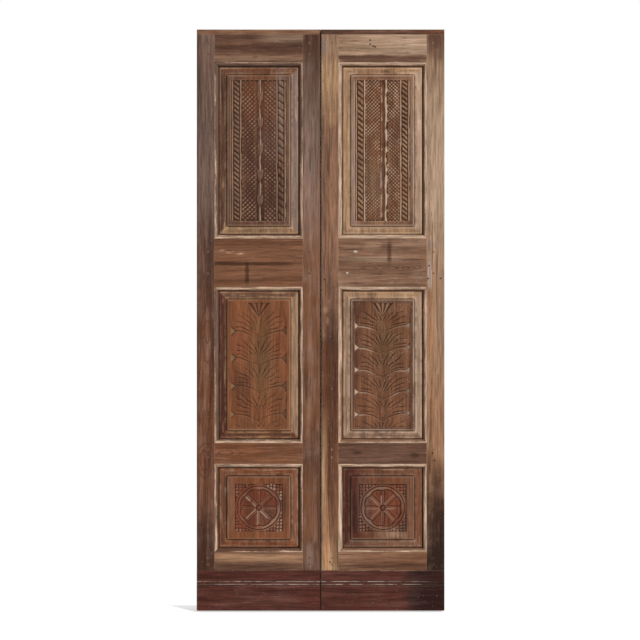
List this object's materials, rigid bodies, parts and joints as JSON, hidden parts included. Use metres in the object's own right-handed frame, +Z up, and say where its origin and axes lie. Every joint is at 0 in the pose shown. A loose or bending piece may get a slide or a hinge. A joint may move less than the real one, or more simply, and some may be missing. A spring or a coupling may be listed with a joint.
{
  "type": "carved double door",
  "caption": "Carved double door: framed leaves with raised panels cut with ropes, scales, foliage and a wheel, hung on butt hinges on a plain wooden frame.",
  "frame": {"origin": "middle of the footprint, on the floor under the sill", "axes": "+Z up the door, +X to the right seen from the carved face, -Y out of the carved face"},
  "size_m": [0.909, 0.114, 2.139],
  "materials": {
    "brown_painted_wood": "worn brown paint over bare wood",
    "carved_wood": "carved, worn brown stain",
    "bare_wood": "paint worn away to pale wood",
    "top_strip_wood": "worn brown",
    "red_painted_wood": "worn red oxide paint",
    "frame_wood": "plain brown wood",
    "peg_wood": "end grain, dark",
    "dark_iron": "dark, lightly rusted",
    "screw_steel": "dull"
  },
  "bodies": {
    "frame": {"head": "frame_wood", "sill": "frame_wood", "frame_pegs": "peg_wood", "left_jamb": "frame_wood", "left_lower_frame_plate": "dark_iron", "left_middle_frame_plate": "dark_iron", "left_upper_frame_plate": "dark_iron", "left_frame_screws": "screw_steel", "left_hinge_pins": "dark_iron", "right_jamb": "frame_wood", "right_lower_frame_plate": "dark_iron", "right_middle_frame_plate": "dark_iron", "right_upper_frame_plate": "dark_iron", "right_frame_screws": "screw_steel", "right_hinge_pins": "dark_iron"},
    "left_leaf": {"left_hanging_stile": "brown_painted_wood", "left_meeting_stile": "brown_painted_wood", "left_bottom_rail": "brown_painted_wood", "left_cross_rail": "brown_painted_wood", "left_lock_rail": "brown_painted_wood", "left_top_rail": "brown_painted_wood", "left_top_strip": "top_strip_wood", "left_plinth_rail": "red_painted_wood", "left_plinth_board": "red_painted_wood", "left_lower_panel": "carved_wood", "left_middle_panel": "carved_wood", "left_upper_panel": "carved_wood", "left_lower_moulding": "bare_wood", "left_middle_moulding": "bare_wood", "left_upper_moulding": "bare_wood", "left_tenon_pegs": "peg_wood", "left_dowels": "peg_wood", "left_lower_leaf_plate": "dark_iron", "left_middle_leaf_plate": "dark_iron", "left_upper_leaf_plate": "dark_iron", "left_leaf_screws": "screw_steel"},
    "right_leaf": {"right_hanging_stile": "brown_painted_wood", "right_meeting_stile": "brown_painted_wood", "right_bottom_rail": "brown_painted_wood", "right_cross_rail": "brown_painted_wood", "right_lock_rail": "brown_painted_wood", "right_top_rail": "brown_painted_wood", "right_top_strip": "top_strip_wood", "right_plinth_rail": "red_painted_wood", "right_plinth_board": "red_painted_wood", "right_lower_panel": "carved_wood", "right_middle_panel": "carved_wood", "right_upper_panel": "carved_wood", "right_lower_moulding": "bare_wood", "right_middle_moulding": "bare_wood", "right_upper_moulding": "bare_wood", "right_tenon_pegs": "peg_wood", "right_dowels": "peg_wood", "right_lower_leaf_plate": "dark_iron", "right_middle_leaf_plate": "dark_iron", "right_upper_leaf_plate": "dark_iron", "right_leaf_screws": "screw_steel"}
  },
  "joints": [
    {"name": "left_leaf_swing", "type": "hinge", "parent": "frame", "child": "left_leaf", "pos_m": [-0.4449, -0.0126, 1], "axis": [0, 0, -1], "range_deg": [0, 95]},
    {"name": "right_leaf_swing", "type": "hinge", "parent": "frame", "child": "right_leaf", "pos_m": [0.4449, -0.0126, 1], "axis": [0, 0, 1], "range_deg": [0, 95]}
  ]
}
